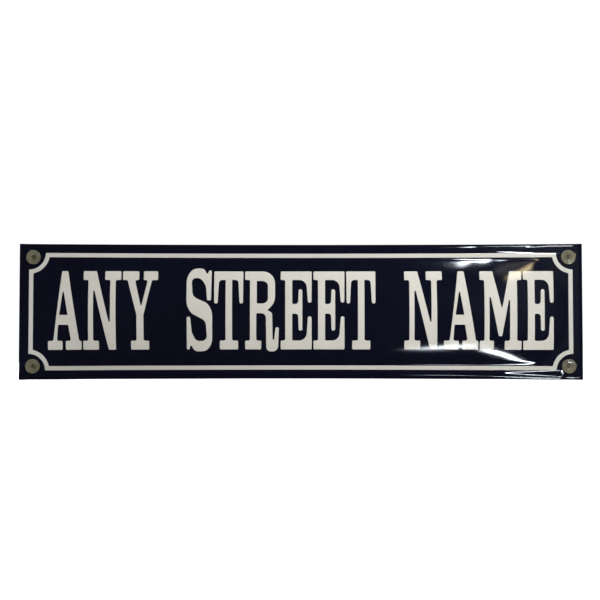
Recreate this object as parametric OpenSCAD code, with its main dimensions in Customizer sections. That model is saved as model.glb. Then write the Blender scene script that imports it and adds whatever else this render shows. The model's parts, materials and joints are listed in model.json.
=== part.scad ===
// Street name sign: a domed, vitreous-enamelled steel plate with a raised white border line
// and a flanged plastic bush in each of its four screw holes.
// The sign stands upright as it hangs: X runs along it, Z is up, and its front faces -Y.
// The origin is the middle of the plane that it is screwed against, and sizes are in millimetres.

/* [Plate] */
// Width of the plate
plate_w = 500; // [360:1:800]
// Height of the plate at its ends
plate_h = 121; // [100:1:240]
// Thickness of the steel with the enamel on both sides
sheet_t = 2; // [1.4:0.1:2.6]
// Radius of the plate's corners, seen from the front
corner_r = 1.2; // [0.6:0.1:1.8]
// How far each long edge is drawn in at its middle
edge_waist = 1; // [0.2:0.1:2]
// Width of the band along the edges that is rolled back
roll_w = 4.5; // [3:0.1:5.4]
// How far the edge is rolled back behind the rim
roll_drop = 1.6; // [1:0.1:2.2]

/* [Dome] */
// Rise of the domed panel above the flat rim
dome_rise = 5.5; // [2:0.1:9]
// Length over which the panel rises from each end
end_ramp = 90; // [60:1:160]
// Width of the hollow fillet where the panel leaves the rim
foot_w = 4; // [2:0.1:7]
// Width over which the panel fades out at the corners
corner_fade = 14; // [8:0.5:24]

/* [White line] */
// Distance of the line's outer edge from each end of the plate
line_inset_x = 9.1; // [8:0.1:10]
// Distance of the line's outer edge from each long edge
line_inset_y = 8.3; // [7:0.1:9.4]
// Width of the line
line_w = 3.8; // [2:0.1:6]
// Thickness of the enamel of the line
line_raise = 0.2; // [0.1:0.05:0.4]
// Radius of the line's hollow corners
sweep_r = 14.8; // [13.2:0.1:24]

/* [Bushes] */
// Distance of each hole from the plate's nearest end
hole_inset_x = 13; // [12:0.1:14.4]
// Distance of each hole from the plate's nearest long edge
hole_inset_y = 12.2; // [11.2:0.1:13.6]
// Diameter of the holes in the plate
hole_d = 8; // [7:0.1:9]
// Gap all round between a bush and its hole
hole_gap = 0.1; // [0.05:0.05:0.3]
// Diameter of a bush's flange
flange_d = 12.8; // [11.4:0.1:13.2]
// Thickness of a bush's flange
flange_t = 1.4; // [1.1:0.1:2]
// Radius of the flange's rounded edge
flange_round = 0.7; // [0.3:0.05:0.9]
// Width of the flange's raised lip, measured from its outside
lip_w = 0.9; // [0.4:0.1:1.2]
// Diameter of a bush's screw bore
bore_d = 4.4; // [3.4:0.1:5]
// Diameter of the seat for the screw's head
seat_d = 8.2; // [7:0.1:9]
// Depth of the shallow dish between the lip and the seat
dish_depth = 0.3; // [0.1:0.05:0.4]
// How far a bush's rear bead stands out past the hole
bead_over = 0.9; // [0.4:0.1:1.5]
// Chamfer on the rear bead
bead_chamfer = 0.4; // [0.1:0.05:0.6]

/* [Hidden] */

$fn = 64;
half_w = plate_w / 2;
half_h = plate_h / 2;

// The rolled edge is an arc: its radius, and the angle that the sheet reaches at its edge
roll_r = (roll_w * roll_w + roll_drop * roll_drop) / (2 * roll_drop);
roll_angle = asin(roll_w / roll_r);

// Heights above the wall. The rolled edge's back corner touches the wall.
rim_front = roll_drop + sheet_t * cos(roll_angle);
rim_back = rim_front - sheet_t;
flange_top = rim_front + flange_t;

// The panel starts just inside the line, and the rim under the line stays flat
rim_margin = 0.2;
start_x = line_inset_x + line_w + rim_margin;
start_y = line_inset_y + line_w + rim_margin;
mesh_step = 3;
flat_corner_r = sweep_r + line_w + 1.45 * mesh_step;
reach_x = line_inset_x + flat_corner_r + mesh_step;
reach_y = line_inset_y + flat_corner_r + mesh_step;

// Grid lines, as distances in from an edge
roll_steps = 4;
foot_steps = 4;
ramp_steps = 6;
middle_steps = 3;
crown_steps = 4;
corner_steps = ceil((reach_x - start_x - foot_w) / mesh_step);

function between(from, to, steps) = [for (i = [1:steps]) from + (to - from) * i / steps];
function roll_lines() =
    [for (i = [0:roll_steps]) roll_w - roll_r * sin(roll_angle * (1 - i / roll_steps))];
function rim_lines(start, reach) = concat(roll_lines(), [start],
    between(start, start + foot_w, foot_steps),
    between(start + foot_w, reach, corner_steps));
lines_x = concat(rim_lines(start_x, reach_x), between(reach_x, start_x + end_ramp, ramp_steps),
    between(start_x + end_ramp, half_w, middle_steps));
lines_y = concat(rim_lines(start_y, reach_y), between(reach_y, half_h, crown_steps));
last_x = len(lines_x) - 1;
last_y = len(lines_y) - 1;
count_x = 2 * last_x + 1;
count_y = 2 * last_y + 1;

// Column i and row j of the grid: distance in from the nearest edge, and which side it is on
function from_end(i) = lines_x[last_x - abs(i - last_x)];
function from_long_edge(j) = lines_y[last_y - abs(j - last_y)];

// 1 at and past the far end of a rise of the given length, 0 before it, level at the top
function crown(u, length) = 1 - pow(1 - max(0, min(1, u / length)), 2);
function ease(u, length) = let (s = max(0, min(1, u / length))) s * s * (3 - 2 * s);

// Height of the panel above the rim, for a point a in from the end and b in from the long edge
function panel(a, b) =
    let (ua = a - start_x, ub = b - start_y,
         from_corner = norm([a - line_inset_x, b - line_inset_y]))
    dome_rise * crown(ua, end_ramp) * crown(ub, half_h - start_y)
        * crown(ua, foot_w) * crown(ub, foot_w) * ease(from_corner - flat_corner_r, corner_fade);

// Angle of the rolled edge, and its drop, for a point d in from the edge
function roll_at(d) = d >= roll_w ? 0 : asin((roll_w - d) / roll_r);
function drop_at(d) = roll_r * (1 - cos(roll_at(d)));

// How far the sheet leans towards the ends and the long edges. Where two rolled edges meet at a
// corner it leans both ways, so that the front and the back are mitred alike.
slope_step = 0.01;
function lean_a(a, b) = roll_at(a)
    + atan((panel(a + slope_step, b) - panel(a - slope_step, b)) / (2 * slope_step));
function lean_b(a, b) = roll_at(b)
    + atan((panel(a, b + slope_step) - panel(a, b - slope_step)) / (2 * slope_step));
function waist_at(x) = edge_waist * (1 - pow(x / half_w, 2));

// A corner's own point is pulled in from both edges, to where the corner's arc would pass
corner_pull = corner_r * (1 - sqrt(0.5));

// A point of the sheet: depth 0 is the front face and sheet_t the back, measured square to it
function sheet_point(i, j, depth) =
    let (a = from_end(i), b = from_long_edge(j),
         side_x = sign(i - last_x), side_y = sign(j - last_y),
         pull = a + b == 0 ? corner_pull : 0,
         x = side_x * (half_w - a - pull),
         y = side_y * (half_h - b - pull) * (1 - waist_at(x) / half_h),
         to_end = lean_a(a, b), to_long_edge = lean_b(a, b))
    [x - side_x * depth * sin(to_end),
     y - side_y * depth * sin(to_long_edge),
     rim_front + panel(a, b) - drop_at(min(a, b))
         - depth * cos(max(abs(to_end), abs(to_long_edge)))];

function grid_points(depth) =
    [for (j = [0:count_y - 1]) for (i = [0:count_x - 1]) sheet_point(i, j, depth)];

// Two triangles for each cell, cut along the line that runs towards the plate's middle
function cell(p, q, r, s, rising) = rising ? [[p, q, r], [p, r, s]] : [[p, q, s], [q, r, s]];
function face_cells(first, flip) =
    [for (j = [0:count_y - 2]) for (i = [0:count_x - 2])
        let (p = first + j * count_x + i, q = p + 1, r = q + count_x, s = p + count_x,
             rising = (i < last_x) == (j < last_y))
        each flip ? cell(p, s, r, q, rising) : cell(p, q, r, s, rising)];

// Grid corners in order round the edge, seen from the back
function border_ring() = concat(
    [for (i = [0:count_x - 2]) i],
    [for (j = [0:count_y - 2]) j * count_x + count_x - 1],
    [for (i = [count_x - 1:-1:1]) (count_y - 1) * count_x + i],
    [for (j = [count_y - 1:-1:1]) j * count_x]);
function edge_faces() =
    let (ring = border_ring(), n = len(ring), back = count_x * count_y)
    [for (k = [0:n - 1]) let (p = ring[k], q = ring[(k + 1) % n])
        each [[p, back + p, back + q], [p, back + q, q]]];

// From a plate that lies on its back to a sign that hangs upright
module hung_upright() rotate([90, 0, 0]) children();

module at_hole(side_x, side_y)
    translate([side_x * (half_w - hole_inset_x), side_y * (half_h - hole_inset_y), 0])
        children();

module pressed_sheet()
    polyhedron(
        points = concat(grid_points(0), grid_points(sheet_t)),
        faces = concat(face_cells(0, true), face_cells(count_x * count_y, false), edge_faces()),
        convexity = 6);

module enamel_plate()
    color([0.05, 0.055, 0.11])
        hung_upright()
            difference() {
                pressed_sheet();
                for (side_x = [-1, 1], side_y = [-1, 1])
                    at_hole(side_x, side_y)
                        translate([0, 0, -1]) cylinder(h = flange_top + 2, d = hole_d);
            }

// Rectangle whose corners are hollowed by circles about the line's own outer corners
module hollow_cornered(further_in, corner_hollow_r)
    difference() {
        square([plate_w - 2 * (line_inset_x + further_in),
                plate_h - 2 * (line_inset_y + further_in)], center = true);
        for (side_x = [-1, 1], side_y = [-1, 1])
            translate([side_x * (half_w - line_inset_x), side_y * (half_h - line_inset_y)])
                circle(corner_hollow_r);
    }

module white_border()
    color([0.84, 0.83, 0.78])
        hung_upright()
            translate([0, 0, rim_front])
                linear_extrude(line_raise)
                    difference() {
                        hollow_cornered(0, sweep_r);
                        hollow_cornered(line_w, sweep_r + line_w);
                    }

// Half section of a bush, with its axis at x = 0 and the wall at y = 0
module bush_section() {
    flange_r = flange_d / 2;
    shank_r = hole_d / 2 - hole_gap;
    bead_r = hole_d / 2 + bead_over;
    bore_r = bore_d / 2;
    seat_r = seat_d / 2;
    seat_top = flange_top - dish_depth;
    polygon([
        [bore_r, 0],
        [bead_r - bead_chamfer, 0],
        [bead_r, bead_chamfer],
        [bead_r, rim_back],
        [shank_r, rim_back],
        [shank_r, rim_front],
        [flange_r, rim_front],
        [flange_r, flange_top - flange_round],
        [flange_r - flange_round, flange_top],
        [flange_r - lip_w, flange_top],
        [seat_r, seat_top],
        [bore_r, seat_top - (seat_r - bore_r)]]);
    translate([flange_r - flange_round, flange_top - flange_round]) circle(flange_round);
}

module bush(side_x, side_y)
    color([0.42, 0.42, 0.37])
        hung_upright()
            at_hole(side_x, side_y)
                rotate_extrude() bush_section();

enamel_plate();
white_border();
bush(-1, 1);  // bush_top_left
bush(1, 1);  // bush_top_right
bush(-1, -1);  // bush_bottom_left
bush(1, -1);  // bush_bottom_right
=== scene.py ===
# %% [markdown]
# # A street name sign in vitreous enamel
# The sign is one sheet of steel, pressed to a shallow dome, coated with dark glass enamel and
# lettered with raised white enamel. Nearly all of its look comes from two things: the exact
# curve of the pressed sheet, which bends every reflection, and the wet gloss of the glass. So
# the script draws each flat thing flat, as the maker cuts it, and then presses them all with
# one and the same rule, which Geometry Nodes hold.

import json
import math

import bmesh
import bpy
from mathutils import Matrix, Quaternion, Vector
from mathutils.geometry import tessellate_polygon


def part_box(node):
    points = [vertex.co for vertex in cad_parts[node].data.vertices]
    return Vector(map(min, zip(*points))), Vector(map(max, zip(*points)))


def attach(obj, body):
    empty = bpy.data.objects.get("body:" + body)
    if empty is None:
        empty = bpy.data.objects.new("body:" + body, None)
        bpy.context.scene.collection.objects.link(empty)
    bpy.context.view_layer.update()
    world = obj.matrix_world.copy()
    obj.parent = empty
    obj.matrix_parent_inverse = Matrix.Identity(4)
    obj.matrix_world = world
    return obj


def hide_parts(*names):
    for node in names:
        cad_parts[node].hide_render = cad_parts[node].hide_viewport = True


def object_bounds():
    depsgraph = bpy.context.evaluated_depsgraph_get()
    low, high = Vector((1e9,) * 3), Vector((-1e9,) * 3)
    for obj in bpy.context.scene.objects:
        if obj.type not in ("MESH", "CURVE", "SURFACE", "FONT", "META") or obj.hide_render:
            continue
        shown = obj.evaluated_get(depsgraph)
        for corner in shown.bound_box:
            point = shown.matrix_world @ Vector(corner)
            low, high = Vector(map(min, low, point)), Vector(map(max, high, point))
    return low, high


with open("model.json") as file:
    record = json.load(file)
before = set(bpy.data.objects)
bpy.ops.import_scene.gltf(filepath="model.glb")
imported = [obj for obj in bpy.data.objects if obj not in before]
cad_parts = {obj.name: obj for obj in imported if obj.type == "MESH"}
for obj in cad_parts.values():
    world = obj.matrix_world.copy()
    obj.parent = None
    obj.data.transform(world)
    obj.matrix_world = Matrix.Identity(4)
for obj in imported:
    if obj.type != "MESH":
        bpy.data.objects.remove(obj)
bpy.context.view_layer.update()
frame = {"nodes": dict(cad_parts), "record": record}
print("nodes in the frame:", sorted(frame["nodes"]))

# %% [markdown]
# ## Sizes
# The frame already knows the sign's real size, so the script measures it there and repeats
# none of it. Lengths below are in metres, as Blender counts, written as so many millimetres.

# %% Measure the frame
MM = 0.001
plate_low, plate_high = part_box("enamel_plate")
line_low, line_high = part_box("white_border")
hole_dims = frame["record"]["mounts"][0]["dims"]

half_w, half_h = plate_high.x, plate_high.z
rim_front = -line_high.y
dome_rise = -plate_low.y - rim_front
line_inset_x, line_inset_z = half_w - line_high.x, half_h - line_high.z
line_raise = line_high.y - line_low.y
hole_x = hole_dims["spacing_x_mm"] / 2 * MM
hole_z = hole_dims["spacing_y_mm"] / 2 * MM
print(f"plate {2 * half_w / MM:.1f} by {2 * half_h / MM:.1f} mm, dome {dome_rise / MM:.2f} mm")
print(f"rim {rim_front / MM:.2f} mm off the wall")
print(f"line {line_raise / MM:.2f} mm proud, {line_inset_x / MM:.2f} mm in from the ends and",
      f"{line_inset_z / MM:.2f} mm from the long edges")

# %% Sizes that the frame doesn't hold
sheet_t = 2 * MM
hole_d = 8 * MM
line_w = 3.8 * MM
sweep_r = 14.8 * MM
bare_rim = 0.2 * MM
start_x = line_inset_x + line_w + bare_rim
start_z = line_inset_z + line_w + bare_rim
TOUCHING = 1e-6  # points that are closer than this count as one
print(f"the panel starts {start_x / MM:.2f} mm in from the ends")

# %% [markdown]
# ## Node trees as sentences
# A node tree is easiest to read as the formula that it works out. This small class wraps a
# socket, so that `1 - mask * 0.5` adds its own Math nodes, and its `node` method adds any other
# kind of node: its settings go in first, because they decide which sockets it has.

# %% A socket that does arithmetic
class Signal:
    """A node tree's socket. Arithmetic on it adds Math nodes, and node() adds any other node."""

    def __init__(self, tree, socket=None):
        self.tree = tree
        self.socket = socket

    def node(self, kind, settings=None, sockets=None, out=0):
        made = self.tree.nodes.new(kind)
        for name, value in (settings or {}).items():
            setattr(made, name, value)
        for name, value in (sockets or {}).items():
            if isinstance(value, Signal):
                self.tree.links.new(value.socket, made.inputs[name])
            else:
                made.inputs[name].default_value = value
        return Signal(self.tree, made.outputs[out] if len(made.outputs) else None)

    def __getitem__(self, name):
        return Signal(self.tree, self.socket.node.outputs[name])

    def math(self, operation, *others):
        return self.node("ShaderNodeMath", {"operation": operation},
                         dict(enumerate((self, *others))))

    def __add__(self, other):
        return self.math("ADD", other)

    def __mul__(self, other):
        return self.math("MULTIPLY", other)

    def __sub__(self, other):
        return self.math("SUBTRACT", other)

    def __rsub__(self, other):
        return (self * -1) + other

    def __truediv__(self, other):
        return self.math("DIVIDE", other)

    def __pow__(self, other):
        return self.math("POWER", other)

    def vector_math(self, operation, other=(0, 0, 0)):
        return self.node("ShaderNodeVectorMath", {"operation": operation}, {0: self, 1: other})

    def split(self):
        return self.node("ShaderNodeSeparateXYZ", {}, {"Vector": self})

    def clamped(self):
        return self.math("MINIMUM", 1).math("MAXIMUM", 0)

    __radd__ = __add__
    __rmul__ = __mul__


def add_inputs(tree, kind, names):
    """Adds named inputs to a tree, with their values where names is a dict that holds them."""
    for name in names:
        socket = tree.interface.new_socket(
            name=name, in_out="INPUT", socket_type="NodeSocket" + kind)
        if isinstance(names, dict):
            socket.default_value = names[name]


def new_tree(name, output, kind="Geometry"):
    tree = bpy.data.node_groups.new(name, "GeometryNodeTree")
    tree.interface.new_socket(name=output, in_out="OUTPUT", socket_type="NodeSocket" + kind)
    return tree


def run_tree(piece, tree, sizes):
    """Runs a Geometry Nodes tree on a piece, with its inputs by name, and keeps the mesh."""
    modifier = piece.modifiers.new(tree.name, "NODES")
    modifier.node_group = tree
    for item in tree.interface.items_tree:
        if item.in_out == "INPUT" and item.name in sizes:
            modifier[item.identifier] = sizes[item.name]
    bpy.context.view_layer.update()
    graph = bpy.context.evaluated_depsgraph_get()
    mesh = bpy.data.meshes.new_from_object(piece.evaluated_get(graph), depsgraph=graph)
    piece.modifiers.remove(modifier)
    for index in reversed(range(len(mesh.materials))):
        if mesh.materials[index] is None:
            mesh.materials.pop(index=index)
    piece.data = mesh
    mesh.name = piece.name
    print(f"{piece.name}: {len(mesh.polygons)} faces after {tree.name}")


def coat(flow, shape, material):
    """Ends a tree as each one here ends: smooth, made real and given its material."""
    smooth = flow.node("GeometryNodeSetShadeSmooth", {}, {"Geometry": shape})
    whole = flow.node("GeometryNodeRealizeInstances", {}, {"Geometry": smooth})
    return flow.node("GeometryNodeSetMaterial", {}, {"Geometry": whole, "Material": material})


# %% [markdown]
# ## The press
# Two steel dies give the sheet its form. The rule below is that form: how far the front stands
# off the wall at any place. From the edge inwards it has an edge that is rolled back along an
# arc, a narrow rim, a hollow fillet and then a dome that levels out at the middle. At the
# corners the dome fades out, so the screws sit on flat rim.
#
# Near the ends the pressing is less even, and that is where the streaks of light fork. The
# roll is tighter there. The upper edge has a crease in its roll and a fold on its rim. The lower
# edge has a shallow bevel instead, which opens like a fan from a tip towards the corner.

# %% Sizes of the pressing
PRESS_SIZES = {
    "Half Width": half_w,
    "Half Height": half_h,
    "Rim Front": rim_front,
    "Dome Rise": dome_rise,
    "End Ramp": 90 * MM,
    "Panel Start X": start_x,
    "Panel Start Z": start_z,
    "Foot Width": 4 * MM,
    "Line Inset X": line_inset_x,
    "Line Inset Z": line_inset_z,
    "Flat Corner": 22.95 * MM,
    "Corner Fade": 14 * MM,
    "Roll Width": 4.5 * MM,
    "Roll Drop": 1.49 * MM,
    "Roll Tightening": 1.5 * MM,
    "Crease Drop": 0.28 * MM,
    "Fold Rise": 0.36 * MM,
    "Bevel Slope": 0.188,
    "Mitre Blend": 1.2 * MM,
    "Waist": 1 * MM,
    "Waviness": 0.02 * MM,
}
WAVE_LENGTH = 35 * MM
LEAST_ROLL_DROP = 0.7 * MM

# Along the sign, each form starts and stops over two stretches, measured from the end
ROLL_TIGHTENS = ((0, 10 * MM), (60 * MM, 130 * MM))
CREASE_LASTS = ((26 * MM, 44 * MM), (70 * MM, 96 * MM))
FOLD_LASTS = ((13 * MM, 25 * MM), (72 * MM, 96 * MM))
BEVEL_LASTS = ((14.5 * MM, 20.5 * MM), (64 * MM, 86 * MM))

# Across the sign, each form has a place from the long edge and a lean towards the end
CREASE_AT, CREASE_LEAN, CREASE_W = -0.65 * MM, 0.0568, 1.9 * MM
FOLD_AT, FOLD_SHIFT, FOLD_W = 8.4 * MM, 2.4 * MM, 1.8 * MM
BEVEL_TIP, BEVEL_ROUND = 72 * MM, 0.9 * MM
BEVEL_INNER, BEVEL_INNER_LEAN = 6.35 * MM, 0.046
BEVEL_OUTER, BEVEL_OUTER_LEAN = 5.4 * MM, 0.056
BEVEL_NARROWS = 0.75
HALVES_MEET = 0.3 * half_h
print("the press has", len(PRESS_SIZES), "sizes")


# %% The height of the pressed sheet
def crown(distance, length):
    """0 before a rise, 1 past it, and level where it arrives."""
    return 1 - (1 - (distance / length).clamped()) ** 2


def ease(distance, start, end):
    """0 up to the start and 1 from the end on, with a smooth step between."""
    return distance.node("ShaderNodeMapRange", {"interpolation_type": "SMOOTHSTEP"}, {
        "Value": distance, "From Min": start, "From Max": end})


def lasting(distance, start, stop):
    """1 between two stretches, and a smooth step within each of them."""
    return ease(distance, *start) * (1 - ease(distance, *stop))


def add_dome(size, from_end, from_side):
    """The dome, with a hollow foot, which fades out in the corners."""
    end_rise = from_end - size["Panel Start X"]
    side_rise = from_side - size["Panel Start Z"]
    corner = size.node("ShaderNodeCombineXYZ", {}, {
        "X": from_end - size["Line Inset X"], "Y": from_side - size["Line Inset Z"]})
    from_corner = corner.vector_math("LENGTH")["Value"]
    faded = ease(from_corner, size["Flat Corner"], size["Flat Corner"] + size["Corner Fade"])
    return (size["Dome Rise"] * crown(end_rise, size["End Ramp"])
            * crown(side_rise, size["Half Height"] - size["Panel Start Z"])
            * crown(end_rise, size["Foot Width"]) * crown(side_rise, size["Foot Width"])
            * faded)


def add_edge(size, from_end, from_side, upper, lower):
    """How far the front falls back at the edge, by its roll and the crease or bevel in it."""
    past_tip = (BEVEL_TIP - from_end).math("MAXIMUM", 0)
    inner = BEVEL_INNER + past_tip * BEVEL_INNER_LEAN
    outer = BEVEL_OUTER - past_tip * BEVEL_OUTER_LEAN
    slope = size["Bevel Slope"] * lower * lasting(from_end, *BEVEL_LASTS)
    bevel = slope * ((inner - from_side).math("SMOOTH_MAX", 0, BEVEL_ROUND)
                     - (outer - from_side).math("SMOOTH_MAX", 0, BEVEL_ROUND))
    bevel_drop = slope * (inner - outer)

    crease_drop = size["Crease Drop"] * upper * lasting(from_end, *CREASE_LASTS)
    crease_from = from_end * CREASE_LEAN + CREASE_AT
    crease = crease_drop * (1 - ease(from_side, crease_from, crease_from + CREASE_W))

    tight = lasting(from_end, *ROLL_TIGHTENS)
    width = size["Roll Width"] - size["Roll Tightening"] * tight - bevel_drop * BEVEL_NARROWS
    roll_drop = (size["Roll Drop"] - crease_drop - bevel_drop).math("MAXIMUM", LEAST_ROLL_DROP)
    radius = (width ** 2 + roll_drop ** 2) / (roll_drop * 2)
    nearest = from_end.math("SMOOTH_MIN", from_side, size["Mitre Blend"])
    into_roll = (width - nearest).math("MAXIMUM", 0)
    roll = radius - (radius ** 2 - into_roll ** 2).math("MAXIMUM", 0).math("SQRT")
    return roll + bevel + crease


def build_height_rule():
    tree = new_tree("height_of_sheet", "Height", "Float")
    add_inputs(tree, "Vector", ["Place"])
    add_inputs(tree, "Float", PRESS_SIZES)
    size = Signal(tree).node("NodeGroupInput")
    place = size["Place"].split()
    from_end = size["Half Width"] - place["X"].math("ABSOLUTE")
    from_side = size["Half Height"] - place["Z"].math("ABSOLUTE")
    lower = 1 - ease(place["Z"], -HALVES_MEET, HALVES_MEET)
    upper = 1 - lower

    dome = add_dome(size, from_end, from_side)
    edge = add_edge(size, from_end, from_side, upper, lower)
    fold_from = FOLD_AT - FOLD_SHIFT * ease(from_end, 10 * MM, 90 * MM)
    fold = (size["Fold Rise"] * upper * lasting(from_end, *FOLD_LASTS)
            * ease(from_side, fold_from, fold_from + FOLD_W))
    noise = size.node("ShaderNodeTexNoise", {}, {
        "Vector": size["Place"], "Scale": 1 / WAVE_LENGTH, "Detail": 1.0})
    height = size["Rim Front"] + dome - edge + fold + (noise - 0.5) * size["Waviness"]
    size.node("NodeGroupOutput", {}, {"Height": height})
    return tree


height_rule = build_height_rule()
print("the height rule has", len(height_rule.nodes), "nodes")

# %% [markdown]
# The press itself reads a flat drawing: X and Z are places on the sign, and a point that
# stands off the sheet's front has that as its -Y. Each point goes to the curved front and then
# out along the sheet's own normal, which comes from three heights close together. Steel that
# is drawn in at the long edges makes the waist of the plate.

# %% The tree that presses a flat drawing
SLOPE_STEP = 0.1 * MM


def add_press(flow, size, geometry):
    """Adds the pressing of a flat drawing to a tree, and returns the pressed geometry."""
    place = flow.node("GeometryNodeInputPosition")
    flat = place.split()
    standing = flat["Y"] * -1
    at = {name: size[name] for name in PRESS_SIZES}

    def height_at(shift):
        spot = place.vector_math("ADD", shift)
        made = flow.node("GeometryNodeGroup", {"node_tree": height_rule}, {"Place": spot, **at})
        return made["Height"]

    here = height_at((0, 0, 0))
    slope_x = (height_at((SLOPE_STEP, 0, 0)) - here) / SLOPE_STEP
    slope_z = (height_at((0, 0, SLOPE_STEP)) - here) / SLOPE_STEP
    normal = flow.node("ShaderNodeCombineXYZ", {}, {
        "X": slope_x * -1, "Y": -1.0, "Z": slope_z * -1})
    unit = normal.vector_math("NORMALIZE")
    out_along = unit.node("ShaderNodeVectorMath", {"operation": "SCALE"}, {
        "Vector": unit, "Scale": standing})
    drawn_in = size["Waist"] * (1 - (flat["X"] / size["Half Width"]) ** 2)
    front = flow.node("ShaderNodeCombineXYZ", {}, {
        "X": flat["X"], "Y": here * -1,
        "Z": flat["Z"] * (1 - drawn_in / size["Half Height"])})
    kept = flow.node("GeometryNodeStoreNamedAttribute", {"data_type": "FLOAT"}, {
        "Geometry": geometry, "Name": "standing", "Value": standing})
    return flow.node("GeometryNodeSetPosition", {}, {
        "Geometry": kept, "Position": front.vector_math("ADD", out_along)})


def start_tree(name):
    """An empty tree with a mesh in, a mesh out and the press's sizes as named inputs."""
    tree = new_tree(name, "Pressed")
    add_inputs(tree, "Geometry", ["Flat"])
    add_inputs(tree, "Float", PRESS_SIZES)
    return tree, Signal(tree)


# %% [markdown]
# ## The plate
# The blank is cut with its edge already rounded, so that the enamel can flow round it. It is a
# grid whose lines crowd together where the sheet bends most, closed round the edge by a half
# round. At each corner the half round fans out, which rounds the corner as well.

# %% Cut the blank
EDGE_R = 1.0 * MM
EDGE_STEPS = 6
CORNER_STEPS = 5
BLANK_OVER = 0.42 * MM
ROLL_BAND = -6.5 * MM
GRID_BANDS = [  # how far past the panel's start each band of the grid ends, and its step
    (0, 0.4 * MM),
    (4 * MM, 0.4 * MM),
    (28 * MM, 1.5 * MM),
]
ROLL_STEP_X, ROLL_STEP_Z = 0.4 * MM, 0.18 * MM
MIDDLE_STEP_X = 3.6 * MM
MIDDLE_STEP_Z = 2.0 * MM


def grid_lines(half, panel_start, roll_step, middle_step):
    """Places of the grid's lines from one edge to the other, close together where it bends."""
    inwards = [EDGE_R]
    bands = [(panel_start + past, step) for past, step in [(ROLL_BAND, roll_step), *GRID_BANDS]]
    for end, step in [*bands, (half, middle_step)]:
        start = inwards[-1]
        count = math.ceil((end - start) / step - TOUCHING)
        inwards += [start + (end - start) * i / count for i in range(1, count + 1)]
    outer = [half - d for d in inwards[:-1]]
    return [-x for x in outer] + [0.0] + outer[::-1]


def add_both_faces(blank, xs, zs):
    """Adds the front and the back as grids, and returns their points in rows."""
    front, back = [[[blank.verts.new((x, y, z)) for x in xs] for z in zs] for y in (0, sheet_t)]
    for j in range(len(zs) - 1):
        for i in range(len(xs) - 1):
            ring = [(j, i), (j, i + 1), (j + 1, i + 1), (j + 1, i)]
            blank.faces.new([front[a][b] for a, b in ring])
            blank.faces.new([back[a][b] for a, b in reversed(ring)])
    return front, back


def edge_ribs(front, back):
    """Front and back points in pairs round the edge, and the angle that each looks out at."""
    last_i, last_j = len(front[0]) - 1, len(front) - 1
    sides = [
        ([(0, i) for i in range(last_i + 1)], -90),
        ([(j, last_i) for j in range(last_j + 1)], 0),
        ([(last_j, i) for i in range(last_i, -1, -1)], 90),
        ([(j, 0) for j in range(last_j, -1, -1)], 180),
    ]
    ribs = []
    for places, angle in sides:
        ribs += [(front[j][i], back[j][i], angle) for j, i in places]
        corner = ribs[-1]
        for step in range(1, CORNER_STEPS):
            ribs.append((corner[0], corner[1], angle + 90 * step / CORNER_STEPS))
    return ribs


def add_half_round(blank, ribs):
    """Closes the edge with an arc at each rib, which fan out where a corner has several."""
    arcs = []
    for front_point, back_point, angle in ribs:
        out = Vector((math.cos(math.radians(angle)), 0, math.sin(math.radians(angle))))
        middle = Vector((front_point.co.x, sheet_t / 2, front_point.co.z))
        arc = [front_point]
        for step in range(1, EDGE_STEPS):
            turn = math.pi * step / EDGE_STEPS
            depth = Vector((0, -sheet_t / 2 * math.cos(turn), 0))
            arc.append(blank.verts.new(middle + out * EDGE_R * math.sin(turn) + depth))
        arcs.append(arc + [back_point])
    for arc, following in zip(arcs, arcs[1:] + arcs[:1]):
        for step in range(EDGE_STEPS):
            ring = [arc[step], arc[step + 1], following[step + 1], following[step]]
            corners = list(dict.fromkeys(ring))
            if len(corners) > 2:
                blank.faces.new(corners)


def piece_from(drawn, name):
    """Makes an object of what a bmesh holds, and frees the bmesh."""
    mesh = bpy.data.meshes.new(name)
    drawn.to_mesh(mesh)
    drawn.free()
    piece = bpy.data.objects.new(name, mesh)
    bpy.context.scene.collection.objects.link(piece)
    print(f"{name}: drawn with {len(mesh.polygons)} faces")
    return piece


def cut_blank(name):
    xs = grid_lines(half_w + BLANK_OVER, start_x, ROLL_STEP_X, MIDDLE_STEP_X)
    zs = grid_lines(half_h + BLANK_OVER, start_z, ROLL_STEP_Z, MIDDLE_STEP_Z)
    blank = bmesh.new()
    add_half_round(blank, edge_ribs(*add_both_faces(blank, xs, zs)))
    return piece_from(blank, name)


plate = cut_blank("pressed_plate")

# %% [markdown]
# ## Enamel
# Vitreous enamel is coloured glass on steel. The navy is so dark that nearly all that shows is
# what it reflects, so its colour stays almost black and its gloss does the work. Fired glass is
# never dead flat: it has a faint orange peel and a slow swell, which a bump gives it. The back
# has only the thin ground coat, which is duller and speckled.

# %% A material with a shader to fill in
def start_material(name):
    material = bpy.data.materials.new(name)
    material.use_nodes = True
    material.node_tree.nodes.clear()
    return material, Signal(material.node_tree)


def finish_material(flow, shader):
    flow.node("ShaderNodeOutputMaterial", {}, {"Surface": shader})


def finish_solid(flow, colour, roughness, bump, **more):
    """Ends a material with one principled shader and a bump that is counted in millimetres."""
    normal = flow.node("ShaderNodeBump", {}, {
        "Strength": 1.0, "Distance": 1 * MM, "Height": bump})
    finish_material(flow, flow.node("ShaderNodeBsdfPrincipled", {}, {
        "Base Color": colour, "Roughness": roughness, "Normal": normal, "IOR": 1.5, **more}))


def noise_of(flow, size, detail=2.0):
    """Noise that is fixed to the object, with waves about as long as size."""
    return flow.node("ShaderNodeTexNoise", {}, {
        "Vector": flow.node("ShaderNodeTexCoord")["Object"], "Scale": 1 / size,
        "Detail": detail})


def blend_colour(factor, dark, light):
    """Mixes two colours, which a Math node would turn grey."""
    return factor.node("ShaderNodeMix", {"data_type": "RGBA"}, {
        0: factor, 6: (*dark, 1) if isinstance(dark, tuple) else dark,
        7: (*light, 1) if isinstance(light, tuple) else light}, 2)


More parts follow.
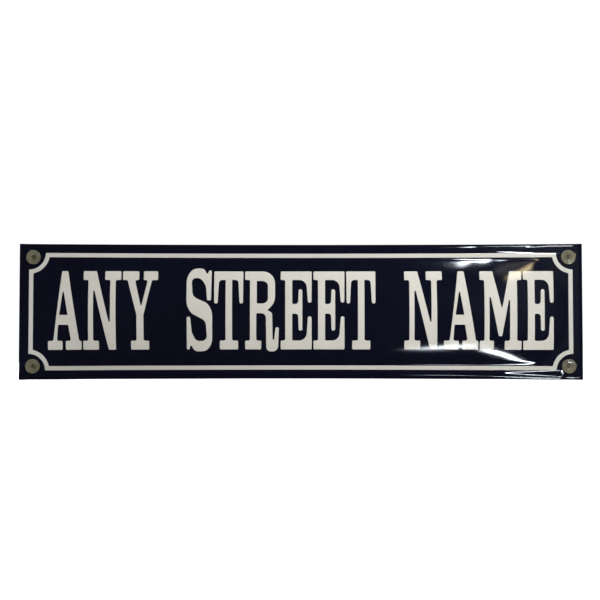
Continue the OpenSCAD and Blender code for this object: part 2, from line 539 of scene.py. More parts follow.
# %% Navy cover coat
def make_navy_enamel():
    material, flow = start_material("navy_cover_coat")
    cloud = noise_of(flow, 60 * MM)
    colour = blend_colour(cloud, (0.0034, 0.0036, 0.0105), (0.0046, 0.0058, 0.0175))
    peel = noise_of(flow, 1.6 * MM, 1.0)
    swell = noise_of(flow, 11 * MM, 1.0)
    finish_solid(flow, colour, 0.05 + cloud * 0.03, peel * 0.0010 + swell * 0.006)
    return material


navy_enamel = make_navy_enamel()


# %% Ground coat on the back
FLECK_FROM, FLECK_STEEPNESS = 0.62, 9.0


def make_ground_coat():
    material, flow = start_material("ground_coat")
    cloud = noise_of(flow, 25 * MM, 3.0)
    fleck = noise_of(flow, 0.9 * MM, 1.0)
    speckled = ((fleck - FLECK_FROM) * FLECK_STEEPNESS).clamped()
    base = blend_colour(cloud, (0.026, 0.028, 0.034), (0.050, 0.052, 0.060))
    colour = blend_colour(speckled * 0.6, base, (0.20, 0.20, 0.21))
    finish_solid(flow, colour, 0.32 + cloud * 0.12, fleck * 0.02 + cloud * 0.05)
    return material


ground_coat = make_ground_coat()
print("plate finishes:", navy_enamel.name, "and", ground_coat.name)

# %% [markdown]
# Screw holes are easiest to punch while the sheet is flat, so this tree does it first. A punch
# stands on each point of a grid of four, which the spacing of the holes stretches, and one
# boolean cuts them all. Whatever stands well behind the front takes the ground coat.

# %% Punch and press the plate
PUNCH_SIDES = 64
PUNCH_SHEETS = 6
BACK_SHARE = -0.6
SHARP_FROM = math.radians(50)


def build_plate_tree():
    tree, flow = start_tree("press_plate")
    add_inputs(tree, "Vector", ["Hole Place"])
    add_inputs(tree, "Float", ["Hole Radius", "Sheet"])
    add_inputs(tree, "Material", ["Cover Coat", "Ground Coat"])
    size = flow.node("NodeGroupInput")
    four = flow.node("GeometryNodeMeshGrid", {}, {
        "Vertices X": 2, "Vertices Y": 2, "Size X": 1.0, "Size Y": 1.0})["Mesh"]
    signs = flow.node("GeometryNodeInputPosition").vector_math("MULTIPLY", (2, 2, 0))
    upright = signs.node("ShaderNodeVectorRotate", {"rotation_type": "X_AXIS"}, {
        "Vector": signs, "Angle": math.radians(90)})
    centres = flow.node("GeometryNodeSetPosition", {}, {
        "Geometry": four, "Position": upright.vector_math("MULTIPLY", size["Hole Place"])})
    punch = flow.node("GeometryNodeMeshCylinder", {"fill_type": "NGON"}, {
        "Vertices": PUNCH_SIDES, "Radius": size["Hole Radius"],
        "Depth": size["Sheet"] * PUNCH_SHEETS})["Mesh"]
    punches = flow.node("GeometryNodeInstanceOnPoints", {}, {
        "Points": centres, "Instance": punch, "Rotation": (math.radians(90), 0, 0)})
    real = flow.node("GeometryNodeRealizeInstances", {}, {"Geometry": punches})
    cut = {"operation": "DIFFERENCE", "solver": "EXACT"}
    punched = flow.node("GeometryNodeMeshBoolean", cut, {
        "Mesh 1": size["Flat"], "Mesh 2": real})["Mesh"]
    covered = coat(flow, add_press(flow, size, punched), size["Cover Coat"])
    standing = flow.node("GeometryNodeInputNamedAttribute", {"data_type": "FLOAT"}, {
        "Name": "standing"})["Attribute"]
    behind = standing.math("LESS_THAN", size["Sheet"] * BACK_SHARE)
    coated = flow.node("GeometryNodeSetMaterial", {}, {
        "Geometry": covered, "Selection": behind, "Material": size["Ground Coat"]})
    flow.node("NodeGroupOutput", {}, {"Pressed": coated})
    return tree


run_tree(plate, build_plate_tree(), {
    "Hole Place": (hole_x, 0, hole_z), "Hole Radius": hole_d / 2, "Sheet": sheet_t,
    "Cover Coat": navy_enamel, "Ground Coat": ground_coat})
plate.data.set_sharp_from_angle(angle=SHARP_FROM)
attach(plate, "root")
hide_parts("enamel_plate")

# %% [markdown]
# ## White enamel
# The line and the letters are sifted on through a stencil and fired, so each stands a fraction
# of a millimetre proud with edges that have slumped round. A shape like that is an outline,
# and an outline needs only its corners and how round each one is. The next helper turns such a
# list into a closed loop. Where an arc has no room, it takes half of each side, and with that
# one rule the same kind of list also draws the swelling curves of an S.

# %% Loops with rounded corners
ARC_STEP = math.radians(14)


def arc_points(corner, before, after, radius):
    """Points along the arc that rounds one corner of an outline."""
    to_before, to_after = (before - corner), (after - corner)
    room = 0.5 * min(to_before.length, to_after.length)
    to_before.normalize()
    to_after.normalize()
    half_angle = to_before.angle(to_after) / 2
    reach = min(radius / math.tan(half_angle), room)
    radius = reach * math.tan(half_angle)
    centre = corner + (to_before + to_after).normalized() * (radius / math.sin(half_angle))
    start = corner + to_before * reach - centre
    turn = start.angle_signed(corner + to_after * reach - centre)
    steps = max(2, math.ceil(abs(turn) / ARC_STEP))
    points = []
    for step in range(steps + 1):
        angle = -turn * step / steps
        cos, sin = math.cos(angle), math.sin(angle)
        points.append(centre + Vector((start.x * cos - start.y * sin,
                                       start.x * sin + start.y * cos)))
    return points


def rounded_loop(corners):
    """A closed loop from (x, z, radius) corners, where radius 0 keeps a corner as it is."""
    spots = [Vector((x, z)) for x, z, _ in corners]
    loop = []
    for i, (_, _, radius) in enumerate(corners):
        before, corner, after = spots[i - 1], spots[i], spots[(i + 1) % len(spots)]
        added = arc_points(corner, before, after, radius) if radius else [corner]
        loop += [p for p in added if not loop or (p - loop[-1]).length > TOUCHING]
    if (loop[0] - loop[-1]).length < TOUCHING:
        loop.pop()
    return loop


def signed_area(loop):
    return sum(p.cross(q) for p, q in zip(loop, loop[1:] + loop[:1])) / 2


# %% [markdown]
# A raised shape is then a stack of rings, each a little further in and a little higher, which
# follow the round that surface tension gives the melted edge. The flat top is filled last and
# the whole is cut along a net of lines, so that it has enough points to bend with the sheet.

# %% Raise a shape from its loops
FILM_SINK = 0.12 * MM
# How far in each ring is, in millimetres, and how high, as a share of the film
EDGE_RINGS = [(0.0, -0.6), (0.0, 0.25), (0.02, 0.55), (0.07, 0.80), (0.15, 0.95), (0.26, 1.0),
              (0.45, 1.0)]


def inset(loop, distance):
    """The loop moved to its left by distance, which is into the shape."""
    moved = []
    for i, point in enumerate(loop):
        along = (point - loop[i - 1]).normalized()
        onwards = (loop[(i + 1) % len(loop)] - point).normalized()
        left, next_left = Vector((-along.y, along.x)), Vector((-onwards.y, onwards.x))
        moved.append(point + (left + next_left) * (distance / (1 + left.dot(next_left))))
    return moved


def raise_shape(target, outline, counters, height):
    """Adds a raised flat-topped shape to a bmesh, drawn flat in X and Z with -Y outwards."""
    loops = [outline if signed_area(outline) > 0 else outline[::-1]]
    loops += [c if signed_area(c) < 0 else c[::-1] for c in counters]
    bottom, top = [], []
    for loop in loops:
        rings = []
        for distance, share in EDGE_RINGS:
            level = -share * height if share > 0 else FILM_SINK
            rings.append([target.verts.new((p.x, level, p.y)) for p in inset(loop, distance * MM)])
        for ring, above in zip(rings, rings[1:]):
            for i in range(len(ring)):
                j = (i + 1) % len(ring)
                target.faces.new((ring[i], ring[j], above[j], above[i]))
        bottom.append(rings[0])
        top.append(rings[-1])
    for stack, upwards in ((bottom, False), (top, True)):
        flat = [v for ring in stack for v in ring]
        for triangle in tessellate_polygon([[(v.co.x, v.co.z, 0) for v in r] for r in stack]):
            corners = [flat[i] for i in triangle]
            turned = (corners[1].co - corners[0].co).cross(corners[2].co - corners[0].co).y
            if (turned < 0) != upwards:
                corners.reverse()
            target.faces.new(corners)


def cut_along(target, axis, places):
    """Cuts every face of a bmesh where it crosses the given places along an axis."""
    normal = Vector([float(i == axis) for i in range(3)])
    for place in places:
        bmesh.ops.bisect_plane(target, geom=target.verts[:] + target.edges[:] + target.faces[:],
                               plane_co=normal * place, plane_no=normal, dist=TOUCHING)


# %% [markdown]
# ## The white line
# The line runs round on the rim and steps round each screw with a quarter circle that is
# hollowed into its corner. Both of its edges are circles about the same point, the corner of
# the line's own rectangle, so the line keeps its width through the curve.

# %% Draw the line
LINE_EAR_R = 0.5 * MM
HOLLOW_STEPS = 14
NET_STEP, NET_X, NET_Z = 4 * MM, 61, 12
FINE_STEP, FINE_CUTS = 0.5 * MM, 7


def hollow_cornered(further_in, hollow_r):
    """Corners of a rectangle whose corners are hollowed by circles about the line's corners."""
    centre_x, centre_z = half_w - line_inset_x, half_h - line_inset_z
    reach = math.sqrt(hollow_r ** 2 - further_in ** 2)
    lean = math.asin(further_in / hollow_r)
    corners = []
    for side_x, side_z in ((1, 1), (-1, 1), (-1, -1), (1, -1)):
        quarter = []
        for step in range(HOLLOW_STEPS + 1):
            angle = lean + (math.pi / 2 - 2 * lean) * step / HOLLOW_STEPS
            spot = (side_x * (centre_x - hollow_r * math.cos(angle)),
                    side_z * (centre_z - hollow_r * math.sin(angle)))
            quarter.append((*spot, LINE_EAR_R if step in (0, HOLLOW_STEPS) else 0))
        corners += quarter[::-1] if side_x * side_z > 0 else quarter
    print(f"hollow corner {hollow_r / MM:.1f} mm, reaching {reach / MM:.1f} mm along each side")
    return corners


def draw_line():
    outer = rounded_loop(hollow_cornered(0, sweep_r))
    inner = rounded_loop(hollow_cornered(line_w, sweep_r + line_w))
    drawn = bmesh.new()
    raise_shape(drawn, outer, [inner], line_raise)
    cut_along(drawn, 0, [x * NET_STEP for x in range(-NET_X, NET_X + 1)])
    cut_along(drawn, 2, [z * NET_STEP for z in range(-NET_Z, NET_Z + 1)])
    insets = [FINE_STEP * n for n in range(1, FINE_CUTS + 1)]
    for side in (-1, 1):
        cut_along(drawn, 2, [side * (line_high.z - inset) for inset in insets])
        cut_along(drawn, 0, [side * (line_high.x - inset) for inset in insets])
    return piece_from(drawn, "white_line")


white_line = draw_line()

# %% [markdown]
# ## Letters
# The lettering is a condensed slab serif, drawn here stroke by stroke: thick stems, thin joins
# and heavy flat feet. Each letter is one outline, with a second one for a hole. The words
# only say what a sign like this is for, as a blank from a pattern book would.

# %% Outlines of the letters, in millimetres from the foot of each letter's left side
LETTERS = {
    "A": [[(0, 0, 1), (13.3, 0, 1), (13.3, 8, 1.2), (8.4, 8, 1.5), (9.2, 22.2, 1),
           (18.4, 22.2, 1), (20.8, 8, 1.5), (16.2, 8, 1.2), (16.2, 0, 1), (30.2, 0, 1),
           (30.2, 8, 1.2), (28.2, 8, 1.5), (17.8, 70, 1), (12.4, 70, 1), (5, 8, 1.5),
           (0, 8, 1.2)],
          [(13.7, 54.2, 0.5), (10.2, 31, 0.5), (17.8, 31, 0.5)]],
    "E": [[(0, 0, 1), (27.4, 0, 1), (27.2, 29.6, 1.6), (24, 29.6, 1.6), (22.5, 8, 9),
           (10.2, 8, 1.2), (10.2, 32, 1.2), (15.4, 32, 4), (15.8, 16.8, 1.6),
           (19.1, 16.8, 1.6), (19.1, 53.8, 1.6), (15.8, 53.8, 1.6), (15.4, 40.6, 4),
           (10.2, 40.6, 1.2), (10.2, 62.2, 1.2), (22.5, 62.2, 9), (24, 41.8, 1.6),
           (27.2, 41.8, 1.6), (27.4, 70, 1), (0, 70, 1), (0, 62.2, 1), (4, 62.2, 1.5),
           (4, 8, 1.5), (0, 8, 1)]],
    "M": [[(0, 0, 1), (12.4, 0, 1), (12.4, 8, 1), (8.4, 8, 1.5), (8.4, 52, 0.6),
           (16.6, 12, 0.8), (19.6, 12, 0.8), (26.6, 50, 0.6), (26.6, 8, 1.5), (22, 8, 1),
           (22, 0, 1), (37, 0, 1), (37, 8, 1), (33, 8, 1.5), (33, 62, 1.5), (37, 62, 1),
           (37, 70, 1), (26.4, 70, 1), (19.4, 36, 0.5), (11.4, 70, 1), (0, 70, 1),
           (0, 62, 1), (4, 62, 1.5), (4, 8, 1.5), (0, 8, 1)]],
    "N": [[(0, 0, 1), (14, 0, 1), (14, 8, 1), (8.9, 8, 1.5), (8.9, 57, 0.6), (22.7, 0, 1),
           (29, 0, 1), (28.6, 62, 1.5), (33.3, 62, 1), (33.3, 70, 1), (19.1, 70, 1),
           (19.1, 62, 1), (23.8, 62, 1.5), (23.8, 20.5, 0.6), (11.6, 70, 1), (0, 70, 1),
           (0, 62, 1), (4.4, 62, 1.5), (4.4, 8, 1.5), (0, 8, 1)]],
    "R": [[(0.2, 0, 1), (14.2, 0, 1), (14.4, 7.9, 1), (10, 7.9, 1.5), (10, 32.3, 1),
           (18.4, 32.3, 8), (18.8, -1.8, 4), (29, -1.8, 5), (29.9, 19.8, 1.4),
           (26.9, 19.8, 1.4), (25.6, 8.6, 0.6), (24.4, 8.6, 0.6), (24, 33, 8),
           (19.7, 35, 0.5), (26.5, 42, 12), (26.5, 70, 11), (0, 70, 1), (0, 62.2, 1),
           (4.4, 62.2, 1.5), (4.4, 7.9, 1.5), (0.2, 7.9, 1)],
          [(10.4, 61.3, 0.8), (10.4, 41.1, 0.8), (20.2, 41.1, 5), (20.2, 61.3, 5)]],
    "S": [[(0.3, 0, 0.9), (2.8, 0, 0.9), (3.7, 5.3, 1.5), (7, -1.7, 5), (18, -1.7, 9),
           (22.7, 6, 14), (22.7, 34, 14), (18.5, 41.5, 9), (5.5, 47, 7), (4.3, 63.9, 5),
           (12.6, 63.9, 6), (17, 57, 9), (18.2, 43.6, 1), (21.7, 44, 1), (22.1, 70.7, 1),
           (19.7, 70.7, 1), (18, 66.6, 1.5), (15.6, 72.7, 5), (5, 72.7, 9), (0, 64, 14),
           (0, 40, 14), (4, 32.5, 9), (17, 25.5, 7), (18.2, 7.6, 5), (8.5, 7.6, 5),
           (4.8, 15, 9), (3.3, 29.4, 1), (0.3, 28.9, 1)]],
    "T": [[(5.2, 0, 1), (21.2, 0, 1), (21.2, 8, 1), (16, 8, 1.5), (16, 62.2, 0.6),
           (21.3, 62.2, 5), (22.5, 41, 1.6), (25.6, 41, 1.6), (25.8, 70, 1), (0, 70, 1),
           (0.2, 41, 1.6), (3.3, 41, 1.6), (4.4, 62.2, 5), (10.2, 62.2, 0.6), (10.2, 8, 1.5),
           (5.2, 8, 1)]],
    "Y": [[(7.5, 0, 1), (23.5, 0, 1), (23.5, 8, 1), (18.6, 8, 1.5), (18.6, 31, 2),
           (25.8, 62, 1.5), (31, 62, 1), (31, 70, 1), (18.4, 70, 1), (18.4, 62, 1),
           (22, 62, 1.5), (16.4, 37.5, 0.5), (10.9, 62, 1.5), (14.4, 62, 1), (14.4, 70, 1),
           (0, 70, 1), (0, 62, 1), (4.2, 62, 1.5), (12.4, 31, 2), (12.4, 8, 1.5),
           (7.5, 8, 1)]],
}
WORDS = ("ANY", "STREET", "NAME")
LETTER_GAP = 1.5 * MM
LINE_OF_TEXT = 447 * MM
BASELINE = -34 * MM
LETTER_RAISE = 0.24 * MM
ROW_STEP, ROWS = 2 * MM, 34
COLUMN_STEP, COLUMNS = 4 * MM, 9
print(len(LETTERS), "letters drawn")


# %% Set the words
def letter_width(letter):
    return max(x for x, _, _ in LETTERS[letter][0]) * MM


def word_width(word):
    return sum(letter_width(c) for c in word) + LETTER_GAP * (len(word) - 1)


def draw_letter(letter, left, drawn):
    loops = [rounded_loop([(left + x * MM, BASELINE + z * MM, r * MM) for x, z, r in loop])
             for loop in LETTERS[letter]]
    glyph = bmesh.new()
    raise_shape(glyph, loops[0], loops[1:], LETTER_RAISE)
    cut_along(glyph, 2, [BASELINE + z * ROW_STEP for z in range(1, ROWS + 1)])
    cut_along(glyph, 0, [left + x * COLUMN_STEP for x in range(1, COLUMNS + 1)])
    mesh = bpy.data.meshes.new(letter)
    glyph.to_mesh(mesh)
    glyph.free()
    drawn.from_mesh(mesh)
    bpy.data.meshes.remove(mesh)


def draw_words():
    drawn = bmesh.new()
    word_gap = (LINE_OF_TEXT - sum(word_width(w) for w in WORDS)) / (len(WORDS) - 1)
    left = -LINE_OF_TEXT / 2
    for word in WORDS:
        for letter in word:
            draw_letter(letter, left, drawn)
            left += letter_width(letter) + LETTER_GAP
        left += word_gap - LETTER_GAP
    print(f"{word_gap / MM:.1f} mm between words")
    return piece_from(drawn, "raised_lettering")


lettering = draw_words()

# %% [markdown]
# White enamel hides the dark coat only where it is thick. At its slumped edges it thins out and
# looks greyer, so the colour reads how far each point stands off the sheet, which the press
# has kept as an attribute. Then the line and the letters go through the plate's own press.

# %% White enamel and its press
THINS_OUT = 1.5


def make_white_enamel():
    material, flow = start_material("white_cover_enamel")
    cloud = noise_of(flow, 30 * MM)
    standing = flow.node("ShaderNodeAttribute", {"attribute_name": "standing"})["Fac"]
    full = (standing / LETTER_RAISE).clamped()
    body = blend_colour(cloud, (0.74, 0.73, 0.68), (0.80, 0.79, 0.74))
    colour = blend_colour(full ** THINS_OUT, (0.55, 0.56, 0.56), body)
    peel = noise_of(flow, 1.8 * MM, 1.0)
    swell = noise_of(flow, 8 * MM, 1.0)
    finish_solid(flow, colour, 0.08 + cloud * 0.04, peel * 0.003 + swell * 0.02)
    return material


def build_enamel_tree():
    tree, flow = start_tree("press_enamel")
    add_inputs(tree, "Material", ["Enamel"])
    size = flow.node("NodeGroupInput")
    coated = coat(flow, add_press(flow, size, size["Flat"]), size["Enamel"])
    flow.node("NodeGroupOutput", {}, {"Pressed": coated})
    return tree


white_enamel = make_white_enamel()
enamel_tree = build_enamel_tree()
for piece in (white_line, lettering):
    run_tree(piece, enamel_tree, {"Enamel": white_enamel})
    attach(piece, "root")
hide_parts("white_border")

# %% [markdown]
# ## The bushes
# Each screw hole holds a flanged bush, moulded in milky plastic that keeps the steel screw from
# chipping the glass. It is a turned form, so its half section is spun round its axis.

# %% Spin the blank of a bush
bush_low, bush_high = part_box("bush_top_left")
flange_r = (bush_high.x - bush_low.x) / 2
flange_top = -bush_low.y
SPIN_STEPS = 72
BORE_R = hole_dims["hole_r_mm"] * MM
LIP_R, LIP_TURN, LIP_STEPS = 0.55 * MM, 125, 8
DISH_DEPTH, SEAT_DEPTH = 0.28 * MM, 1.05 * MM
FLANGE_EDGE, BEAD_EDGE = 0.15 * MM, 0.3 * MM
BEAD_R = 4.9 * MM
SHANK_R = 3.9 * MM
rim_back = rim_front - sheet_t


def arc_profile(centre_r, centre_y, radius, start, stop, steps):
    """Points of a half section along an arc, as distances from the axis and off the wall."""
    angles = [math.radians(start + (stop - start) * i / steps) for i in range(steps + 1)]
    return [(centre_r + radius * math.cos(a), centre_y + radius * math.sin(a)) for a in angles]


def bush_section():
    lip_r, lip_y = flange_r - LIP_R, flange_top - LIP_R
    dish_y = flange_top - DISH_DEPTH
    seat_y = flange_top - SEAT_DEPTH
    return [
        (BORE_R, 0), (BEAD_R - BEAD_EDGE, 0), (BEAD_R, BEAD_EDGE), (BEAD_R, rim_back),
        (SHANK_R, rim_back), (SHANK_R, rim_front), (flange_r - FLANGE_EDGE, rim_front),
        (flange_r, rim_front + FLANGE_EDGE),
        *arc_profile(lip_r, lip_y, LIP_R, 0, LIP_TURN, LIP_STEPS),
        (flange_r - 1.25 * MM, dish_y),
        (flange_r - 2.1 * MM, dish_y - 0.05 * MM),
        (BORE_R + 1.3 * MM, dish_y - 0.2 * MM),
        (BORE_R + 0.5 * MM, seat_y + 0.35 * MM),
        (BORE_R + 0.12 * MM, seat_y + 0.1 * MM),
        (BORE_R, seat_y),
    ]


def spin_blank(name):
    turned = bmesh.new()
    rings = []
    for step in range(SPIN_STEPS):
        angle = 2 * math.pi * step / SPIN_STEPS
        rings.append([turned.verts.new((r * math.cos(angle), -y, r * math.sin(angle)))
                      for r, y in bush_section()])
    for ring, following in zip(rings, rings[1:] + rings[:1]):
        for i in range(len(ring)):
            j = (i + 1) % len(ring)
            turned.faces.new((ring[i], ring[j], following[j], following[i]))
    bmesh.ops.recalc_face_normals(turned, faces=turned.faces)
    return piece_from(turned, name)


# %% [markdown]
# The four bushes look cheaply moulded: one has a nub, as where a runner broke off, and none is
# quite round. One tree seats them all, and each has its own seed, nub and place. The plastic
# lets light in a little way, and a thin coat gives it the shine of a moulded skin.

# %% Seat and finish the bushes
NUB_SPREAD = 0.16
UNEVEN_SIZE, UNEVENNESS = 6 * MM, 0.12 * MM
SHANK_STAYS = 0.1 * MM


def make_bush_plastic():
    material, flow = start_material("milky_plastic")
    cloud = noise_of(flow, 3.2 * MM, 2.0)
    streak = noise_of(flow, 1.1 * MM, 1.0)
    colour = blend_colour(cloud, (0.13, 0.13, 0.075), (0.25, 0.235, 0.18))
    finish_solid(flow, colour, 0.34 + streak * 0.12, cloud * 0.12 + streak * 0.04, **{
        "IOR": 1.49, "Subsurface Weight": 0.35, "Subsurface Scale": 1 * MM,
        "Coat Weight": 0.5, "Coat Roughness": 0.1})
    return material


def build_bush_tree():
    tree = new_tree("seat_bush", "Seated")
    add_inputs(tree, "Geometry", ["Blank"])
    add_inputs(tree, "Vector", ["Seat"])
    add_inputs(tree, "Float", {"Flange Radius": flange_r, "Unevenness": UNEVENNESS})
    add_inputs(tree, "Float", ["Seed", "Nub Angle", "Nub Reach"])
    add_inputs(tree, "Material", ["Plastic"])
    flow = Signal(tree)
    size = flow.node("NodeGroupInput")
    place = flow.node("GeometryNodeInputPosition")
    flat = place.split()
    outwards = place.vector_math("MULTIPLY", (1, 0, 1))
    from_axis = outwards.vector_math("LENGTH")["Value"]
    at_flange = (from_axis / size["Flange Radius"]) ** 4
    off_wall = (flat["Y"] * -1).math("GREATER_THAN", rim_front + SHANK_STAYS)
    angle = flat["Z"].math("ARCTAN2", flat["X"])
    off_nub = (angle - size["Nub Angle"]).math("WRAP", math.pi, -math.pi) / NUB_SPREAD
    nub = size["Nub Reach"] * (off_nub ** 2 * -1).math("EXPONENT")
    noise = flow.node("ShaderNodeTexNoise", {"noise_dimensions": "4D"}, {
        "Vector": place, "W": size["Seed"], "Scale": 1 / UNEVEN_SIZE, "Detail": 1.0})
    swell = (nub + (noise - 0.5) * size["Unevenness"] * 2) * at_flange * off_wall
    push = outwards.vector_math("NORMALIZE")
    moved = push.node("ShaderNodeVectorMath", {"operation": "SCALE"}, {
        "Vector": push, "Scale": swell})
    shaped = flow.node("GeometryNodeSetPosition", {}, {
        "Geometry": size["Blank"], "Offset": moved.vector_math("ADD", size["Seat"])})
    flow.node("NodeGroupOutput", {}, {"Seated": coat(flow, shaped, size["Plastic"])})
    return tree


BUSHES = {  # the side that each is on, its seed, and its nub's angle and reach
    "top_left": (-1, 1, 1.0, 1.9, 0.1 * MM),
    "top_right": (1, 1, 2.3, 0.40, 1.2 * MM),
    "bottom_left": (-1, -1, 3.1, -2.4, 0.1 * MM),
    "bottom_right": (1, -1, 4.7, 2.7, 0.15 * MM),
}
bush_tree = build_bush_tree()
bush_plastic = make_bush_plastic()
for corner, (side_x, side_z, seed, nub_angle, nub_reach) in BUSHES.items():
    bush = spin_blank("moulded_bush_" + corner)
    run_tree(bush, bush_tree, {
        "Seat": (side_x * hole_x, 0, side_z * hole_z), "Seed": seed, "Nub Angle": nub_angle,
        "Nub Reach": nub_reach, "Plastic": bush_plastic})
    bush.data.set_sharp_from_angle(angle=SHARP_FROM)
    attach(bush, "root")
    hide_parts("bush_" + corner)

# %% [markdown]
# ## The studio
# The sign stands on a pale floor in front of white, as it would for a catalogue. Close behind
# it is a dark plane that glows faintly, a painted shadow: it paints the shade that a wall
# would cast into each bore, lighter towards the right as painted light. From behind, that
# plane is clear, and it casts no shadow.

# %% Floor and the shade behind the plate
FLOOR_SIZE = 6.0
SHADE_BEHIND = 0.4 * MM
SHADE_LESS_X, SHADE_LESS_Z = 6 * MM, 8 * MM


def add_plane(name, size_x, size_y, centre, turn_x=0.0):
    mesh = bpy.data.meshes.new(name)
    half_x, half_y = size_x / 2, size_y / 2
    mesh.from_pydata([(-half_x, -half_y, 0), (half_x, -half_y, 0), (half_x, half_y, 0),
                      (-half_x, half_y, 0)], [], [(0, 1, 2, 3)])
    plane = bpy.data.objects.new(name, mesh)
    plane.location = centre
    plane.rotation_euler.x = turn_x
    bpy.context.scene.collection.objects.link(plane)
    return plane


def make_pale_floor():
    material, flow = start_material("pale_floor")
    lit = flow.node("ShaderNodeBsdfDiffuse", {}, {"Color": (0.85, 0.85, 0.85, 1)})
    glow = flow.node("ShaderNodeEmission", {}, {"Strength": 1.0})
    seen = flow.node("ShaderNodeLightPath")["Is Camera Ray"]
    both = flow.node("ShaderNodeAddShader", {}, {0: lit, 1: glow})
    finish_material(flow, flow.node("ShaderNodeMixShader", {}, {0: seen, 1: lit, 2: both}))
    return material


def make_shade():
    """Painted shade: a dark glow from the front, clear from behind, so the back of the sign still
    shows.
    """
    material, flow = start_material("shade_behind")
    across = flow.node("ShaderNodeTexCoord")["Object"].split()["X"]
    # painted shadow and painted light: the plane glows dark as the wall's shade in the bores, and
    # lighter towards the right where the light falls
    painted_light_to_right = ease(across, -half_w, half_w)
    colour = blend_colour(painted_light_to_right, (0.050, 0.046, 0.026), (0.082, 0.080, 0.058))
    dark = flow.node("ShaderNodeEmission", {}, {"Color": colour})
    clear = flow.node("ShaderNodeBsdfTransparent")
    behind = flow.node("ShaderNodeNewGeometry")["Backfacing"]
    finish_material(flow, flow.node("ShaderNodeMixShader", {}, {0: behind, 1: dark, 2: clear}))
    return material


floor_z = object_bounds()[0].z
floor = add_plane("floor", FLOOR_SIZE, FLOOR_SIZE, (0, 0, floor_z))
floor.data.materials.append(make_pale_floor())
floor.visible_glossy = False
shade = add_plane("shade_behind", 2 * half_w - SHADE_LESS_X, 2 * half_h - SHADE_LESS_Z,
                  (0, SHADE_BEHIND, 0), math.radians(90))
shade.visible_shadow = False
shade.data.materials.append(make_shade())
print("floor at", round(floor_z / MM, 2), "mm")

# %% [markdown]
# The glass is a dark mirror, so what it sees matters more than what lights the scene. The world
# is therefore three things at once: white to the camera, a dim room to reflections and a soft
# fill to all else. Two lamps that no reflection shows light the white enamel and the back.

# %% World and lamps
WORLD_WHITE = ((1, 1, 1), 1.05)
WORLD_FILL = ((1, 0.97, 0.92), 0.12)
WORLD_ROOM = ((0.8, 0.85, 1.0), 0.035)
LAMP_SIZE = 0.3
LAMPS = {  # its place, power and colour
    "soft_key": ((0.2, -0.45, 0.35), 2.6, (1, 0.985, 0.95)),
    "back_fill": ((-0.45, 0.5, 0.3), 9, (1, 0.99, 0.97)),
}


def make_world():
    world = bpy.data.worlds.new("studio")
    bpy.context.scene.world = world
    world.use_nodes = True
    world.node_tree.nodes.clear()
    flow = Signal(world.node_tree)
    path = flow.node("ShaderNodeLightPath")
    white, fill, room = [
        flow.node("ShaderNodeBackground", {}, {"Color": (*colour, 1), "Strength": strength})
        for colour, strength in (WORLD_WHITE, WORLD_FILL, WORLD_ROOM)]
    rest = flow.node("ShaderNodeMixShader", {}, {0: path["Is Glossy Ray"], 1: fill, 2: room})
    seen = flow.node("ShaderNodeMixShader", {}, {0: path["Is Camera Ray"], 1: rest, 2: white})
    flow.node("ShaderNodeOutputWorld", {}, {"Surface": seen})


def add_lamp(name, place, power, colour):
    """A square lamp that faces the middle of the sign."""
    light = bpy.data.lights.new(name, "AREA")
    light.shape = "RECTANGLE"
    light.size = light.size_y = LAMP_SIZE
    light.energy = power
    light.color = colour
    lamp = bpy.data.objects.new(name, light)
    lamp.location = place
    lamp.rotation_euler = (-Vector(place)).to_track_quat("-Z", "Y").to_euler()
    bpy.context.scene.collection.objects.link(lamp)
    lamp.visible_camera = lamp.visible_glossy = False


make_world()
for name, numbers in LAMPS.items():
    add_lamp(name, *numbers)
print(len(LAMPS), "lamps")

# %% [markdown]
# A dark mirror shows a light just where the sheet leans the right way, halfway between the
# light and the eye. So each streak on the sign has a card of its own, beyond the sign's right
# end, which glows most in its middle and fades out at its rim. Only reflections see the cards.

# %% Cards that draw the streaks
CARDS_AWAY, CARDS_APART = 0.8, 4 * MM
CARDS_FACE = Vector((0.2, 0, 0))
COOL, WARM = (0.85, 0.93, 1.0), (1.0, 0.78, 0.45)
CARDS = {  # its place across and up, how long and how high it is, its tilt, glow and colour
    "patch_above": (0.316, 0.53, 0.24, 0.026, 100, 170, COOL),
    "streak_above": (0.475, 0.61, 0.27, 0.07, 0, 240, COOL),
    "streak_below": (0.385, -0.315, 0.12, 0.045, 0, 130, COOL),
    "glow_below": (0.27, -0.288, 0.22, 0.05, -20, 38, COOL),
    "fork_below": (0.445, -0.335, 0.15, 0.035, 0, 190, COOL),
    "rim_below": (0.53, -0.59, 0.27, 0.06, 0, 230, COOL),
    "warm_lamp": (0.460, 0.302, 0.09, 0.09, 0, 17, WARM),
    "dim_above": (0.41, 0.38, 0.20, 0.16, 0, 0.9, (1.0, 0.97, 0.9)),
    "dim_side": (0.50, 0.12, 0.7, 0.7, 0, 0.2, (0.7, 0.8, 1.0)),
}


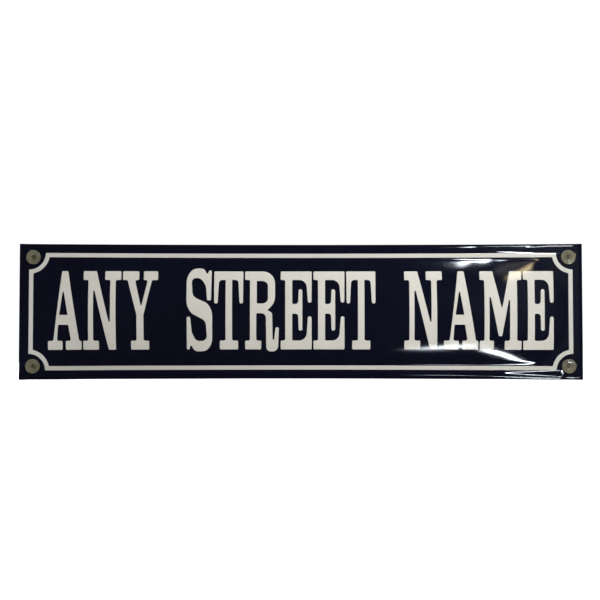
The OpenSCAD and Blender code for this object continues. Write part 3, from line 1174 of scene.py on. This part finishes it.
def make_card_glow(strength, colour):
    material, flow = start_material("card_glow")
    from_middle = flow.node("ShaderNodeTexCoord")["Object"].vector_math("LENGTH")["Value"]
    fading = from_middle.node("ShaderNodeMapRange", {"interpolation_type": "SMOOTHERSTEP"}, {
        "Value": from_middle, "From Min": 1.0, "From Max": 0.0,
        "To Min": 0.0, "To Max": strength})
    glow = flow.node("ShaderNodeEmission", {}, {"Color": (*colour, 1), "Strength": fading})
    clear = flow.node("ShaderNodeBsdfTransparent")
    finish_material(flow, flow.node("ShaderNodeAddShader", {}, {0: glow, 1: clear}))
    return material


def add_card(name, away, across, up, length, height, tilt, strength, colour):
    card = add_plane(name, 2, 2, (across, -away, up))
    look = (CARDS_FACE - card.location).to_track_quat("Z", "Y")
    card.rotation_euler = (look @ Quaternion((0, 0, 1), math.radians(tilt))).to_euler()
    card.scale = (length / 2, height / 2, 1)
    card.data.materials.append(make_card_glow(strength, colour))
    card.visible_camera = card.visible_diffuse = card.visible_shadow = False
    card.visible_transmission = False


for order, (name, numbers) in enumerate(CARDS.items()):
    add_card(name, CARDS_AWAY + CARDS_APART * order, *numbers)
print(len(CARDS), "cards stand", CARDS_AWAY, "m in front")

# %% [markdown]
# ## The camera
# The camera looks square on from a touch below. A shift of the lens frames the sign as in the
# photograph without tilting it.

# %% Camera
CAMERA_AWAY = 0.8
SENSOR = 36
CAMERA_BELOW = math.radians(1.84)
FRAME_WIDTH = 0.5333
SHIFT_UP = 0.0195
SHIFT_LEFT = -0.0014

lens = bpy.data.cameras.new("camera")
camera = bpy.data.objects.new("camera", lens)
bpy.context.scene.collection.objects.link(camera)
bpy.context.scene.camera = camera
camera.location = (0, -CAMERA_AWAY * math.cos(CAMERA_BELOW),
                   -CAMERA_AWAY * math.sin(CAMERA_BELOW))
camera.rotation_euler = (math.radians(90) + CAMERA_BELOW, 0, 0)
lens.sensor_width = SENSOR
lens.lens = SENSOR * CAMERA_AWAY / FRAME_WIDTH
lens.shift_x = SHIFT_LEFT
lens.shift_y = SHIFT_UP
bpy.context.scene.view_settings.view_transform = "Standard"
print(f"{lens.lens:.1f} mm lens at {CAMERA_AWAY} m")
